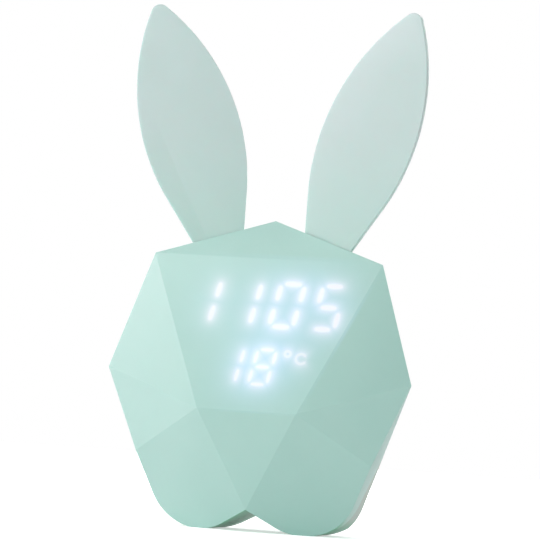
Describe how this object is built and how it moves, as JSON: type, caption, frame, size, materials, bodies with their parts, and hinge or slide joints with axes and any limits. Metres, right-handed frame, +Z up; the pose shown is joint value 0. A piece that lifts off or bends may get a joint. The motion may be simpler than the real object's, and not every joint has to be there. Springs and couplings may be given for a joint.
{
  "type": "alarm clock with night light",
  "caption": "Faceted long-eared bedside alarm clock with glowing time and temperature, night light, rear buttons, slide switch and charging socket.",
  "frame": {"origin": "on the ground under the middle of the body's width and depth", "axes": "+X to the right seen from the front, +Y to the back, +Z up; the face looks along -Y"},
  "size_m": [0.118, 0.058, 0.2],
  "materials": {
    "soft_mint": "satin moulded silicone",
    "milk_shell": "fine satin, slightly translucent",
    "white_plastic": "moulded",
    "button_plastic": "satin",
    "diffuser_sheet": "frosted",
    "lit_resin": "clear, lit from behind",
    "dark_resin": "clear, unlit",
    "circuit_board": "solder mask",
    "led_resin": "clear",
    "black_plastic": "moulded",
    "black_foam": "foam",
    "foot_rubber": "matte",
    "bright_steel": "plated",
    "cell_foil": "crimped foil pouch",
    "white_flex": "smooth",
    "red_wire": "smooth"
  },
  "bodies": {
    "clock": {"face_skin": "soft_mint", "rear_shell": "milk_shell", "ear_left": "soft_mint", "ear_right": "soft_mint", "charge_socket": "bright_steel", "foot_pads": "foot_rubber", "front_shell": "white_plastic", "ear_clamp_left": "white_plastic", "ear_clamp_right": "white_plastic", "ear_screws": "bright_steel", "display_film": "diffuser_sheet", "segment_housing": "white_plastic", "lit_segments": "lit_resin", "dark_segments": "dark_resin", "display_board": "circuit_board", "display_leds": "led_resin", "display_screws": "bright_steel", "ribbon_cable": "white_flex", "main_board": "circuit_board", "board_screws": "bright_steel", "controller_chip": "black_plastic", "clock_crystal": "bright_steel", "temperature_sensor": "black_plastic", "battery": "cell_foil", "battery_tape": "black_foam", "battery_plug": "white_plastic", "battery_leads": "red_wire", "speaker": "black_plastic", "speaker_gasket": "black_foam", "switch_bodies": "black_plastic", "power_switch": "bright_steel", "night_light_leds": "led_resin", "light_reflector": "white_plastic", "light_diffuser": "diffuser_sheet", "case_screws": "bright_steel"},
    "mode_key": {"mode_button": "button_plastic", "mode_plunger": "bright_steel"},
    "up_key": {"up_button": "button_plastic", "up_plunger": "bright_steel"},
    "down_key": {"down_button": "button_plastic", "down_plunger": "bright_steel"},
    "light_key": {"light_button": "button_plastic", "light_plunger": "bright_steel"},
    "slider": {"power_slider": "black_plastic"}
  },
  "joints": [
    {"name": "mode_press", "type": "slide", "parent": "clock", "child": "mode_key", "axis": [0, -1, 0], "range_m": [0, 0.0006], "stiffness_N_per_m": 1500},
    {"name": "up_press", "type": "slide", "parent": "clock", "child": "up_key", "axis": [0, -1, 0], "range_m": [0, 0.0006], "stiffness_N_per_m": 1500},
    {"name": "down_press", "type": "slide", "parent": "clock", "child": "down_key", "axis": [0, -1, 0], "range_m": [0, 0.0006], "stiffness_N_per_m": 1500},
    {"name": "light_press", "type": "slide", "parent": "clock", "child": "light_key", "axis": [0, -1, 0], "range_m": [0, 0.0006], "stiffness_N_per_m": 1500},
    {"name": "power_slide", "type": "slide", "parent": "clock", "child": "slider", "axis": [1, 0, 0], "range_m": [0, 0.0025]}
  ]
}
